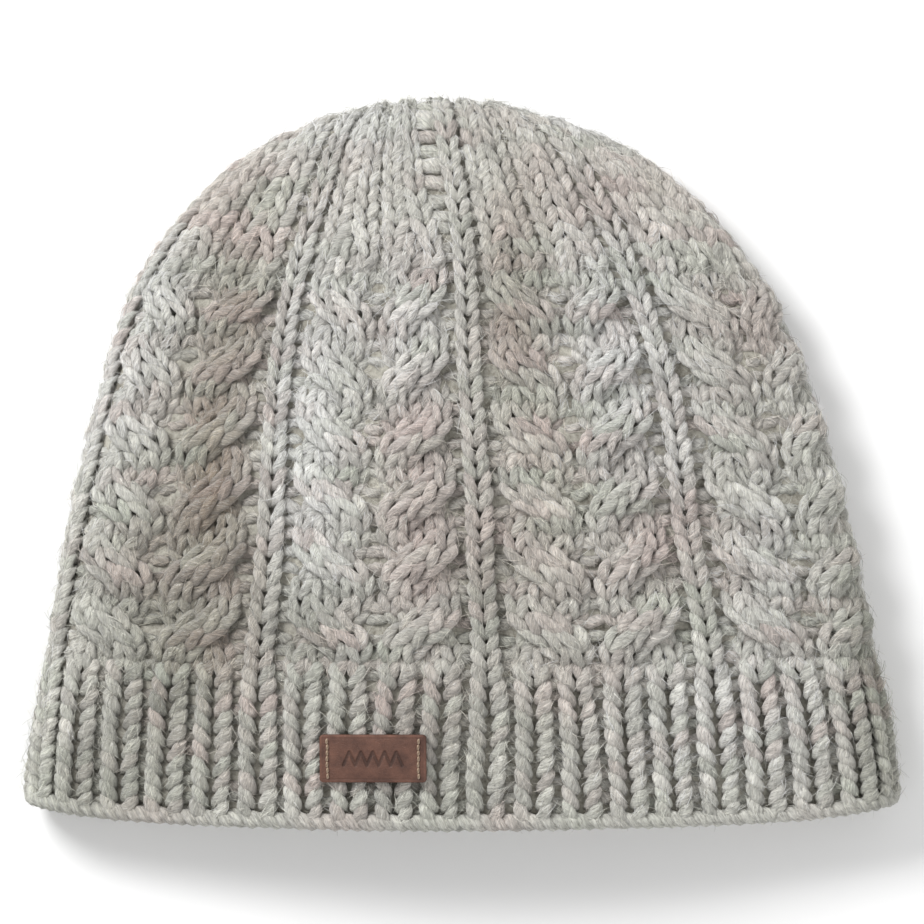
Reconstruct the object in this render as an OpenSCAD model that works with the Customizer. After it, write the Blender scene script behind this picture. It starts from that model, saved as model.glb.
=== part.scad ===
// Cable-knit beanie lying flat on its back layer, as it is folded away.
// +X runs across the brim, +Y from the brim to the crown, +Z up through the two layers.
// The origin is under the middle of the hat, on the surface it lies on.

/* [Hat] */
// Width across the brim, laid flat
hat_w = 240; // [220:1:260]
// Height from the edge of the brim to the crown, laid flat
hat_h = 200; // [185:1:220]
// Outer radius of the folds at the two sides
fold_r = 11; // [10.5:0.5:13]
// Outer radius of the fold over the crown
crown_fold_r = 9; // [8.5:0.5:10.5]
// Extra height of the front layer at its middle
loft = 16; // [12:1:22]
// Sideways lean of the crown
crown_lean = 6.5; // [0:0.5:10]
// Curve of the brim's edge: how far its two ends stand above its middle
brim_bow = 8; // [0:0.5:10]
// Distance of the nearest divider from the middle of the front
divider_shift = 7; // [0:0.5:14]

/* [Knit] */
// Thickness of the plain ground fabric
knit_t = 4.5; // [3.5:0.1:5]
// Height of the cables above the ground
cable_rise = 3; // [2:0.1:3.5]
// Height of the brim's ribs above the ground
rib_rise = 2.4; // [1:0.1:2.5]
// Number of ribs round the brim
ribs = 40; // [32:8:48]
// Share of a wale that the ribbed brim takes
brim_share = 0.2; // [0.16:0.01:0.24]
// Thickness of the chained cast-on edge
edge_t = 6; // [5:0.1:7]
// Crossings of each cable from brim to crown
cable_crossings = 8; // [6:1:10]

/* [Lining] */
// Thickness of the fleece lining
lining_t = 1.8; // [1:0.1:2]
// Gap between the knit and the lining
lining_gap = 0.2; // [0.1:0.1:0.4]
// Width of the sewing thread
thread_d = 0.8; // [0.5:0.1:1]
// Number of stitches along each edge of the lining
lining_stitch_count = 60; // [40:4:80]

/* [Leather label] */
// Width of the leather label
label_w = 29; // [20:0.5:36]
// Height of the leather label
label_h = 13; // [8:0.5:16]
// Thickness of the leather
label_t = 1.4; // [1:0.1:2]
// Middle of the label, left of the middle of the hat
label_x = -24; // [-40:1:40]
// Middle of the label, above the edge of the brim
label_y = 20; // [14:1:30]
// Stitches in each of the label's two rows
label_stitch_count = 7; // [4:1:9]

/* [Hidden] */

panels = 8;
wool = "#b9b7ab";
wool_dark = "#a39a8d";
fleece = "#a8a69c";
leather = "#6b4232";
thread = "#c9a887";

// Depth of the knit's inside face below the tops of the cables
knit_depth = cable_rise + knit_t;
// The lining's two faces, as depths below the tops of the cables
lining_out = knit_depth + lining_gap;
lining_in = lining_out + lining_t;
// Where the lining and the cast-on edge begin and end, as shares of a wale
edge_share = 0.016;
lining_from = 0.03;
lining_to = 0.24;
// The cables stop a little short of the crown's tip
crown_share = 0.97;

function mix(a, b, t) = a + (b - a) * t;

// ---- Outline of the hat, seen from above ----

// Half width of the hat at a height y above the brim: a slow taper up to square, rounded shoulders
function half_w(y) = let (t = y / hat_h)
    hat_w / 2 * (1 - 0.33 * pow(t, 1.4)) * pow(max(0, 1 - pow(t, 7)), 0.55);

outline_steps = 60;
outline = [for (i = [0:outline_steps]) let (y = hat_h * sin(90 * i / outline_steps)) [half_w(y), y]];
outline_run = [
    for (i = 0, run = 0; i <= outline_steps;
         run = run + (i < outline_steps ? norm(outline[i + 1] - outline[i]) : 0), i = i + 1) run
];
outline_len = outline_run[outline_steps];
height_at = [for (i = [0:outline_steps]) [outline_run[i] / outline_len, outline[i][1]]];

// Point of the right-hand outline, v being the share of its length from brim to crown
function edge(v) = let (y = lookup(v, height_at)) [half_w(y), y];

// Outward normal of that outline
function edge_normal(v) = v >= 1 ? [0, 1]
    : let (step = 0.005, t = edge(min(1, v + step)) - edge(max(0, v - step))) [t[1], -t[0]] / norm(t);

// Outer radius of the fold at v
function radius(v) = mix(fold_r, crown_fold_r, pow(v, 3));

// Centre line of the right-hand fold
function fold_line(v) = edge(v) - radius(v) * edge_normal(v);

// ---- Surface of the hat ----

// Height above the brim, on the middle wale
function middle_y(v) = (hat_h - crown_fold_r) * (v + 0.25 * v * (1 - v));

// Half angle over which a row of stitches fans out
function fan(v) = 3 + 82 * v * v;

// Extra height of the front layer on its middle wale
function front_loft(v) = loft * (0.62 + 0.38 * sin(180 * pow(v, 0.7))) * (1 - pow(v, 4));

// Point of a flat layer: s from -1 at the left fold to 1 at the right fold
function layer_xy(s, v) = let (a = fan(v), e = fold_line(v)) [
    e[0] * sin(a * s) / sin(a),
    e[1] - (e[1] - middle_y(v)) * (cos(a * s) - cos(a)) / (1 - cos(a))
];

// How far the brim's edge is lifted, as a share of its lift at the two ends, where it turns up most
function edge_lift(x) = let (share = abs(2 * x / hat_w)) (pow(share, 2) + pow(share, 10)) / 2;

// Puts a point in the part's frame, leaning the crown, bowing the brim and bringing the origin to the middle
function placed(p) = let (t = max(0, p[1]) / hat_h, bow = brim_bow * edge_lift(p[0]) * pow(1 - t, 6))
    [p[0] - crown_lean * pow(t, 2.5), p[1] + bow - hat_h / 2, p[2]];

function front_point(s, v, depth) = let (p = layer_xy(s, v))
    placed([p[0], p[1], 2 * radius(v) - depth + front_loft(v) * pow(max(0, 1 - s * s), 1.5)]);

function back_point(s, v, depth) = let (p = layer_xy(s, v)) placed([p[0], p[1], depth]);

// Point of a fold: side is 1 on the right and -1 on the left, phi 90 at the front and -90 at the back
function fold_point(side, phi, v, depth) =
    let (p = fold_line(v) + edge_normal(v) * (radius(v) - depth) * cos(phi))
    placed([side * p[0], p[1], radius(v) + (radius(v) - depth) * sin(phi)]);

// Length of a row across one layer, and round one fold
function layer_len(v) = 2 * fold_line(v)[0] * fan(v) * PI / 180 / sin(fan(v));
function fold_len(v) = PI * radius(v);
function girth(v) = 2 * (layer_len(v) + fold_len(v));

// Point of the hat: q is the share of the girth, from the left end of the front round to the right
function hat_point(q, v, depth) =
    let (flat = layer_len(v), bend = fold_len(v), run = (q - floor(q)) * girth(v))
    run < flat ? front_point(2 * run / flat - 1, v, depth)
    : run < flat + bend ? fold_point(1, 90 - 180 * (run - flat) / bend, v, depth)
    : run < 2 * flat + bend ? back_point(1 - 2 * (run - flat - bend) / flat, v, depth)
    : fold_point(-1, -90 + 180 * (run - 2 * flat - bend) / bend, v, depth);

// Share of the girth at the middle of the divider nearest the middle of the front
divider_q = (layer_len(brim_share) / 2 + divider_shift) / girth(brim_share);

// ---- Solids between two grids of points ----

function flat_list(rows) = [for (row = rows) for (p = row) p];
function pair(a, b, c, d) = [[a, b, c], [a, c, d]];

// Solid between an outer and an inner grid; with wrap, the last column joins the first
module between(outer, inner, wrap) {
    rows = len(outer);
    cols = len(outer[0]);
    spans = wrap ? cols : cols - 1;
    inside = rows * cols;
    faces = concat(
        [for (i = [0:rows - 2]) for (j = [0:spans - 1]) let (k = (j + 1) % cols, a = i * cols, b = a + cols)
            each concat(
                pair(a + j, b + j, b + k, a + k),
                pair(inside + a + j, inside + a + k, inside + b + k, inside + b + j)
            )],
        [for (j = [0:spans - 1]) let (k = (j + 1) % cols, top = inside - cols)
            each concat(
                pair(j, k, inside + k, inside + j),
                pair(top + k, top + j, inside + top + j, inside + top + k)
            )],
        [if (!wrap) for (i = [0:rows - 2]) let (a = i * cols, b = a + cols, c = cols - 1)
            each concat(
                pair(b, a, inside + a, inside + b),
                pair(a + c, b + c, inside + b + c, inside + a + c)
            )]
    );
    polyhedron(points = concat(flat_list(outer), flat_list(inner)), faces = faces, convexity = 8);
}

// ---- Knit ----

// Rounded hump between two places
function hump(a, low, high) = a <= low || a >= high ? 0 : pow(sin(180 * (a - low) / (high - low)), 0.7);

// Places across a panel: divider, purl, left cable, purl, right cable, purl
divider_end = 0.15;
left_cable = [0.19, 0.55];
right_cable = [0.60, 0.96];
panel_cols = concat(
    [0, divider_end / 2, divider_end],
    [for (i = [0:5]) mix(left_cable[0], left_cable[1], i / 5)],
    [for (i = [0:5]) mix(right_cable[0], right_cable[1], i / 5)],
    [1]
);
panel_rows = 24;

// Share of the cables' height at place a across a panel and v up it
function cable_share(a, v) =
    let (turns = 360 * cable_crossings * (v - brim_share) / (1 - brim_share))
    let (left = hump(a, left_cable[0], left_cable[1]) * (0.86 + 0.3 * cos(turns + 600 * a)))
    let (right = hump(a, right_cable[0], right_cable[1]) * (0.86 + 0.3 * cos(turns - 600 * a)))
    min(1, max(0.55 * hump(a, 0, divider_end), left, right));

// One eighth of the cabled crown, with the divider at its left and its mirrored pair of cables
module cable_panel(number) {
    start = divider_q - (number + divider_end / 2) / panels;
    rows = [for (i = [0:panel_rows]) mix(brim_share, crown_share, i / panel_rows)];
    outer = [for (v = rows) [for (a = panel_cols)
        hat_point(start + a / panels, v, cable_rise * (1 - cable_share(a, v)))]];
    inner = [for (v = rows) [for (a = panel_cols) hat_point(start + a / panels, v, knit_depth)]];
    color(wool) between(outer, inner, false);
}

// Ribbed brim: raised, flat-topped knit columns with a purl groove after each
module rib_brim() {
    rib_depths = [0, 0, 0, rib_rise];
    per_rib = len(rib_depths);
    cols = ribs * per_rib;
    rows = [edge_share, 0.07, 0.14, brim_share];
    places = [for (j = [0:cols - 1]) divider_q + (j - 1) / cols];
    outer = [for (v = rows) [for (j = [0:cols - 1]) hat_point(places[j], v, rib_depths[j % per_rib])]];
    inner = [for (v = rows) [for (q = places) hat_point(q, v, knit_depth)]];
    color(wool) between(outer, inner, true);
}

// Chained cast-on edge, a rounded bead round the mouth of the hat
module cast_on_edge() {
    cols = 120;
    top = 0.7;
    rows = [0, edge_share / 4, edge_share];
    outer_depths = [2.2, top, top];
    inner_depths = [for (depth = outer_depths) edge_t + top - depth / 3];
    outer = [for (i = [0:2]) [for (j = [0:cols - 1]) hat_point(j / cols, rows[i], outer_depths[i])]];
    inner = [for (i = [0:2]) [for (j = [0:cols - 1]) hat_point(j / cols, rows[i], inner_depths[i])]];
    color(wool_dark) between(outer, inner, true);
}

// Last round of stitches, drawn up and fastened off over the top of the fold
module crown_gather() {
    r = crown_fold_r - 0.8;
    half = fold_line(crown_share)[0] + 1;
    round_r = 3;
    color(wool_dark)
    translate([-crown_lean, hat_h / 2 - crown_fold_r, crown_fold_r])
    rotate([0, 90, 0])
    rotate_extrude($fn = 48)
    polygon([
        [0, -half],
        for (t = [0:15:90]) [r - round_r + round_r * sin(t), -half + round_r - round_r * cos(t)],
        for (t = [0:15:90]) [r - round_r + round_r * cos(t), half - round_r + round_r * sin(t)],
        [0, half]
    ]);
}

// ---- Lining ----

// The seam that closes the lining is at the middle of the back
seam_q = 0.75;
seam_gap = 0.0008;

// Fleece band inside the brim, a strip whose ends meet at the seam
module fleece_lining() {
    cols = 96;
    rows = [lining_from, 0.1, 0.17, lining_to];
    places = [for (j = [0:cols]) seam_q + mix(seam_gap, 1 - seam_gap, j / cols)];
    outer = [for (v = rows) [for (q = places) hat_point(q, v, lining_out)]];
    inner = [for (v = rows) [for (q = places) hat_point(q, v, lining_in)]];
    color(fleece) between(outer, inner, false);
}

// One stitch of thread, lying between two points
module stitch(from, to) {
    run = to - from;
    tilt = acos(run[2] / norm(run));
    turn = atan2(run[1], run[0]);
    translate(from) rotate([0, tilt, turn]) cylinder(d = thread_d, h = norm(run), $fn = 8);
}

// Slanted stitches along one edge of the lining, at v on its inside face
module lining_stitches(v) {
    depth = lining_in + thread_d / 2;
    color(thread) for (i = [0:lining_stitch_count - 1]) {
        q = (i + 0.5) / lining_stitch_count;
        stitch(hat_point(q, v - 0.006, depth), hat_point(q + 0.006, v + 0.006, depth));
    }
}

// Crossed stitches that join the lining's two ends
module lining_seam() {
    steps = 12;
    depth = lining_in + thread_d / 2;
    half = 0.003;
    color(thread) for (i = [0:steps - 1]) {
        low = mix(lining_from + 0.02, lining_to - 0.02, i / steps);
        high = mix(lining_from + 0.02, lining_to - 0.02, (i + 0.7) / steps);
        stitch(hat_point(seam_q - half, low, depth), hat_point(seam_q + half, high, depth));
    }
}

// Blank care label, a folded loop of tape lying on the lining's back layer
module care_label() {
    w = 12;
    h = 24;
    t = 0.7;
    below_edge = 4;
    place = back_point(0.3, lining_to, lining_in);
    color("#e8e6e0")
    translate([place[0], place[1] - below_edge - h / 2, lining_in + t / 2])
    cube([w, h, t], center = true);
}

// ---- Leather label ----

// The front layer's surface under the label, level by level
label_v = label_y / (1.25 * (hat_h - crown_fold_r));
label_s = label_x / fold_line(label_v)[0];
label_seat = front_point(label_s, label_v, 0);
label_side = front_point(label_s + 0.05, label_v, 0) - label_seat;
label_up = front_point(label_s, label_v + 0.02, 0) - label_seat;

// Puts its children on the front layer, flat against the tops of the ribs
module on_label_seat() {
    translate(label_seat)
    rotate([atan2(label_up[2], label_up[1]), -atan2(label_side[2], label_side[0]), 0])
    children();
}

module leather_label() {
    corner = 0.8;
    color(leather) on_label_seat() linear_extrude(label_t) union() {
        square([label_w - 2 * corner, label_h], center = true);
        square([label_w, label_h - 2 * corner], center = true);
        for (x = [-1, 1]) for (y = [-1, 1])
            translate([x * (label_w / 2 - corner), y * (label_h / 2 - corner)]) circle(corner, $fn = 32);
    }
}

// Row of stitches near one short end: side is -1 on the left and 1 on the right
module label_stitches(side) {
    inset = 2.4;
    pitch = (label_h - 2) / label_stitch_count;
    length = 0.7 * pitch;
    color(thread) on_label_seat() for (i = [0:label_stitch_count - 1])
        translate([
            side * (label_w / 2 - inset),
            (i - (label_stitch_count - 1) / 2) * pitch - length / 2,
            label_t + 0.2 * thread_d
        ])
        rotate([-90, 0, 0])
        cylinder(d = thread_d, h = length, $fn = 8);
}

rib_brim();
cast_on_edge();
cable_panel(1);  // cable_panel_1
cable_panel(2);  // cable_panel_2
cable_panel(3);  // cable_panel_3
cable_panel(4);  // cable_panel_4
cable_panel(5);  // cable_panel_5
cable_panel(6);  // cable_panel_6
cable_panel(7);  // cable_panel_7
cable_panel(8);  // cable_panel_8
crown_gather();
fleece_lining();
lining_seam();
lining_stitches(lining_to - 0.012);  // lining_stitches_upper
lining_stitches(lining_from + 0.012);  // lining_stitches_lower
care_label();
leather_label();
label_stitches(-1);  // label_stitches_left
label_stitches(1);  // label_stitches_right
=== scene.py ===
import math

import bpy
import numpy as np
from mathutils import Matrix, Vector


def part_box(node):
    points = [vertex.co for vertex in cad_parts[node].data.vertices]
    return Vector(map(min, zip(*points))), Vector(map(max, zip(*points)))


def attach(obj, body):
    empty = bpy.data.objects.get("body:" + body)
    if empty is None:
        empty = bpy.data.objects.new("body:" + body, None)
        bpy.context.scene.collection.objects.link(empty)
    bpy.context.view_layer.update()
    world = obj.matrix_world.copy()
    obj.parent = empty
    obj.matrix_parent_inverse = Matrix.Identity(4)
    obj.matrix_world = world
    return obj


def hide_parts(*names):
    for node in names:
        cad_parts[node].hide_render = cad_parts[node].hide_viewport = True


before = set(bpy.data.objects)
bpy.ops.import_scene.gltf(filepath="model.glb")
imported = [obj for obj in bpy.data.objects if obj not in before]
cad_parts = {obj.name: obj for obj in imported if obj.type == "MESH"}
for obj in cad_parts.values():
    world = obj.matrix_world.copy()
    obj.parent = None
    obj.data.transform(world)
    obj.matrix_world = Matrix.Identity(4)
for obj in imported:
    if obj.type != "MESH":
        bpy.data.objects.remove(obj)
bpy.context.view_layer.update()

# A cable-knit wool beanie lying flat. Every stitch is a short length of yarn laid close to the surface
# that part.scad gives the hat, row by row from the brim's edge to the crown. Lengths are in metres.

MM = 0.001
rng = np.random.default_rng(11)

# ---- The hat's surface, with part.scad's dimensions ----

HAT_W = 240 * MM
HAT_H = 200 * MM
FOLD_R = 11 * MM
CROWN_FOLD_R = 9 * MM
MIDDLE_H = HAT_H - CROWN_FOLD_R
LOFT = 16 * MM
LEAN = 6.5 * MM
DIVIDER_SHIFT = 7 * MM
BRIM_BOW = 8 * MM
BRIM_SHARE = 0.2
PANELS = 8
RIBS_PER_PANEL = 5
# How much closer the rows lie near the crown than near the brim
CROWDING = 0.25
# Where the outline's length ends for the rows: at its very tip they would have no width
LAST_V = 0.999

# Depths below the tops of the cables
KNIT_DEPTH = 7.5 * MM
LINING_OUT = 7.7 * MM
LINING_IN = 9.5 * MM
LINING_FROM = 0.03
LINING_TO = 0.24
SEAM_Q = 0.75


def half_width(y):
    """Half width of the hat at a height y above the brim."""
    taper, growth, square, steep = 0.33, 1.4, 7, 0.55
    t = np.clip(y, 0, HAT_H) / HAT_H
    return HAT_W / 2 * (1 - taper * t**growth) * np.maximum(0, 1 - t**square) ** steep


OUTLINE_Y = HAT_H * np.sin(np.radians(np.linspace(0, 90, 61)))
OUTLINE_X = half_width(OUTLINE_Y)
OUTLINE_RUN = np.concatenate([[0], np.cumsum(np.hypot(np.diff(OUTLINE_X), np.diff(OUTLINE_Y)))])


def edge(v):
    """The right-hand outline, v being the share of its length from brim to crown."""
    y = np.interp(v, OUTLINE_RUN / OUTLINE_RUN[-1], OUTLINE_Y)
    return np.stack([half_width(y), y], -1)


def unit(vectors, least=0.0):
    """Vectors brought to length 1; least is added to their length, where it may be zero."""
    return vectors / (np.linalg.norm(vectors, axis=-1, keepdims=True) + least)


def edge_normal(v):
    """Outward direction of that outline."""
    step = 0.005
    t = edge(np.minimum(1, v + step)) - edge(np.maximum(0, v - step))
    return unit(np.stack([t[..., 1], -t[..., 0]], -1))


def radius(v):
    """Outer radius of the fold."""
    return FOLD_R + (CROWN_FOLD_R - FOLD_R) * v**3


def fold_line(v):
    """Centre line of the right-hand fold."""
    return edge(v) - radius(v)[..., None] * edge_normal(v)


def fan(v):
    """Half angle over which a row of stitches fans out."""
    at_brim, gain = 3, 82
    return np.radians(at_brim + gain * v * v)


def layer_len(v):
    """Length of a row across one layer."""
    return 2 * fold_line(v)[..., 0] * fan(v) / np.sin(fan(v))


def girth(v):
    """Length of a row right round the hat."""
    v = np.asarray(v, float)
    return 2 * (layer_len(v) + math.pi * radius(v))


def middle_height(v):
    """Height above the brim on the middle wale."""
    return MIDDLE_H * (v + CROWDING * v * (1 - v))


def share_at(y):
    """Share of the outline's length at which the middle wale has the height y."""
    t = np.clip(y / MIDDLE_H, 0, 1)
    return (1 + CROWDING - np.sqrt((1 + CROWDING) ** 2 - 4 * CROWDING * t)) / (2 * CROWDING)


def front_loft(v, s):
    """Extra height of the front layer; s is 0 on its middle wale and 1 at its folds."""
    return LOFT * (0.62 + 0.38 * np.sin(math.pi * v**0.7)) * (1 - v**4) * (1 - s * s) ** 1.5


def leaned(x, y, z):
    """Leans the crown, bows the brim's edge and brings the origin to the middle of the hat."""
    t = np.clip(y, 0, HAT_H) / HAT_H
    share = np.abs(2 * x / HAT_W)
    bow = BRIM_BOW * (share**2 + share**10) / 2 * (1 - t) ** 6
    return np.stack([x - LEAN * t**2.5, y + bow - HAT_H / 2, z], -1)


def hat_point(q, v, depth):
    """Point of the hat: q is the share of the girth, from the left end of the front round to the right."""
    q, v, depth = np.broadcast_arrays(*(np.asarray(x, float) for x in (q, v, depth)))
    v = np.clip(v, 0, LAST_V)
    flat, bend, r = layer_len(v), math.pi * radius(v), radius(v)
    run = (q - np.floor(q)) * 2 * (flat + bend)
    front = run < flat
    right = (run >= flat) & (run < flat + bend)
    left = run >= 2 * flat + bend
    s = np.clip(np.where(front, 2 * run / flat - 1, 1 - 2 * (run - flat - bend) / flat), -1, 1)
    a, e = fan(v), fold_line(v)
    x = e[..., 0] * np.sin(a * s) / np.sin(a)
    y = e[..., 1] - (e[..., 1] - middle_height(v)) * (np.cos(a * s) - np.cos(a)) / (1 - np.cos(a))
    z = np.where(front, 2 * r - depth + front_loft(v, s), depth)
    phi = np.where(right, math.pi / 2 - math.pi * (run - flat) / bend,
                   -math.pi / 2 + math.pi * (run - 2 * flat - bend) / bend)
    folded = right | left
    turned = e + edge_normal(v) * ((r - depth) * np.cos(phi))[..., None]
    x = np.where(folded, np.where(right, 1, -1) * turned[..., 0], x)
    y = np.where(folded, turned[..., 1], y)
    z = np.where(folded, r + (r - depth) * np.sin(phi), z)
    return leaned(x, y, z)


# Share of the girth from the front's middle to the nearest divider
DIVIDER_Q = DIVIDER_SHIFT / girth(BRIM_SHARE)

# ---- The knit, row by row up the fabric ----

RIB_ROWS = 11
BODY_ROW_H = 4.4 * MM
BRIM_H = middle_height(BRIM_SHARE)
# The middle wales end where the fabric bends over the crown
FABRIC_H = MIDDLE_H + math.pi / 2 * CROWN_FOLD_R
ROWS = RIB_ROWS + int((FABRIC_H - BRIM_H) / BODY_ROW_H)
CROSS_ROWS = 4
CROSSINGS = 6
LAST_CROSSING_ROW = RIB_ROWS + CROSSINGS * CROSS_ROWS
# How far the fabric is turned round the hat, for each 100 mm of height up to the first
TWIST = 1.5 * MM

# Centre line and outward direction of the right-hand fold, carried on a little below the brim
FOLD_V = np.linspace(0, 1, 500)
FOLD_AT = np.concatenate([[fold_line(np.array(0.0)) - [0, 10 * MM]], fold_line(FOLD_V)])
FOLD_OUT = np.concatenate([[[1.0, 0.0]], edge_normal(FOLD_V)])

# Widths across one panel, as shares of each other, at heights up the fabric
LAYOUT_H = np.array([46, 107, 150, 160, 172, 205]) * MM
CABLE = [22.8, 22.8, 22.8, 20, 18, 11]
PURL = [2.0, 2.0, 1.8, 1.6, 1.2, 0.8]
LAYOUT = {
    "divider": [9.4, 9.4, 9.4, 9.6, 10, 10],
    "purl_left": PURL,
    "cable_left": CABLE,
    "purl_middle": [2.0, 2.0, 2.0, 2.0, 2, 1],
    "cable_right": CABLE,
    "purl_right": PURL,
}
# Left of the front's middle divider a wider purl groove runs over the crown
LADDER_PANEL = PANELS - 1
LADDER = [2.0, 2.0, 2.0, 2.6, 7.5, 9]


def height(row):
    """Height of a row of stitches, up the fabric from the brim's edge."""
    row = np.asarray(row, float)
    return np.where(row < RIB_ROWS, BRIM_H * row / RIB_ROWS, BRIM_H + BODY_ROW_H * (row - RIB_ROWS))


def quarter(y):
    """Quarter of the knit's girth; past the crown's edge it narrows more slowly than the outline."""
    closed_h, open_quarter = 235 * MM, 121 * MM
    t = np.clip(y, 0, None) / closed_h
    outline = half_width(y) + (math.pi / 2 - 1) * fold_r(y)
    return np.maximum(outline, open_quarter * (1 - 0.17 * t) * (1 - t**4))


def fold_r(y):
    """Outer radius of the fold at a height up the fabric."""
    return radius(np.clip(y / MIDDLE_H, 0, 1))


def past_fold(x, y):
    """Distance past the fold's centre line, with the nearest place on it and the distance along it."""
    place = np.stack([np.abs(x), y], -1)
    flat = place.reshape(-1, 1, 2)
    at_once = 20000
    batches = np.array_split(flat, max(1, len(flat) // at_once))
    near = np.concatenate([np.argmin(((part - FOLD_AT) ** 2).sum(-1), 1) for part in batches])
    near = near.reshape(x.shape)
    out = FOLD_OUT[near]
    away = place - FOLD_AT[near]
    along = np.stack([-out[..., 1], out[..., 0]], -1)
    return (away * out).sum(-1), near, (away * along).sum(-1)


def fabric_place(q, y):
    """Distance across from the middle wale, and whether on the back; q is 0 at the middle of the front."""
    q = q - TWIST * np.clip(y / (100 * MM), 0, 1) / (4 * quarter(y))
    turn = np.mod(q + 0.25, 1)
    back = turn > 0.5
    return 4 * np.where(back, 0.75 - turn, turn - 0.25) * quarter(y), back


def fabric_point(q, y, depth):
    """Point of the fabric: two flat layers, bent round the fold at their edge."""
    q, y, depth = np.broadcast_arrays(*(np.asarray(part, float) for part in (q, y, depth)))
    x, back = fabric_place(q, y)
    past, near, along = past_fold(x, y)
    r = fold_r(y)
    bent = past > 0
    angle = np.clip(past / r, 0, math.pi / 2)
    out = FOLD_OUT[near]
    tangent = np.stack([-out[..., 1], out[..., 0]], -1)
    turned = FOLD_AT[near] + tangent * along[..., None] + out * ((r - depth) * np.sin(angle))[..., None]
    px = np.where(bent, np.where(x < 0, -1, 1) * turned[..., 0], x)
    py = np.where(bent, turned[..., 1], y)
    s = np.clip(np.abs(x) / np.interp(y, FOLD_AT[:, 1], FOLD_AT[:, 0] + 0.1 * MM), 0, 1)
    rise = (r - depth) * np.cos(angle)
    pz = np.where(back, r - rise, r + rise + np.where(bent, 0, front_loft(share_at(y), s)))
    return leaned(px, py, pz)


def element(panel, name, y):
    """Middle of a panel's element as a share of the girth, and its width."""
    widths = {key: np.interp(y, LAYOUT_H, LAYOUT[key]) for key in LAYOUT}
    if panel == LADDER_PANEL:
        widths["purl_right"] = np.interp(y, LAYOUT_H, LADDER)
    whole = sum(widths.values())
    before = -widths["divider"] / 2
    for key in LAYOUT:
        if key == name:
            break
        before = before + widths[key]
    middle = (before + widths[name] / 2) / whole
    return DIVIDER_Q + (panel + middle) / PANELS, widths[name] / whole * quarter(y) * 4 / PANELS


WAVES = [(rng.integers(2, 9), rng.uniform(20, 110), rng.uniform(0, 2 * math.pi), rng.uniform(0.4, 1))
         for _ in range(14)]


def unevenness(q, y, first):
    """Slow waves over the whole hat, about -1 to 1, as hand knitting has them."""
    waves = WAVES[first:first + 5]
    return sum(a * np.sin(2 * math.pi * n * q + m * y + p) for n, m, p, a in waves) / 2


def knit_point(q, y, depth):
    """Point of the fabric, with the unevenness of hand knitting; the mouth's edge keeps its height."""
    beside, outward, upward, least_depth = 0.8 * MM, 0.35 * MM, 0.9 * MM, 0.2 * MM
    q = q + beside * unevenness(q, y, 0) / (4 * quarter(y))
    lift = outward * unevenness(q, y, 4)
    sway = upward * unevenness(q, y, 9) * np.clip(y / (20 * MM), 0, 1)
    return fabric_point(q, y + sway, np.maximum(depth - lift, least_depth))


# ---- Colours of the wool, with painted shade and painted light ----


def srgb(*parts):
    """Linear colour from 0 to 255 parts."""
    c = np.array(parts) / 255
    return np.where(c <= 0.04045, c / 12.92, ((c + 0.055) / 1.055) ** 2.4)


# Colours of the yarn; taupe and moss also serve as painted shade, and white as painted light, in the
# patches.
WOOL = srgb(224, 222, 213)
CREAM = srgb(226, 215, 200)
ROSE = srgb(208, 188, 181)
TAUPE_AND_PAINTED_SHADE = srgb(157, 140, 123)
GREEN = srgb(202, 207, 192)
WHITE_AND_PAINTED_LIGHT = srgb(250, 250, 246)
MOSS_AND_PAINTED_SHADE = srgb(150, 150, 136)
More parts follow.
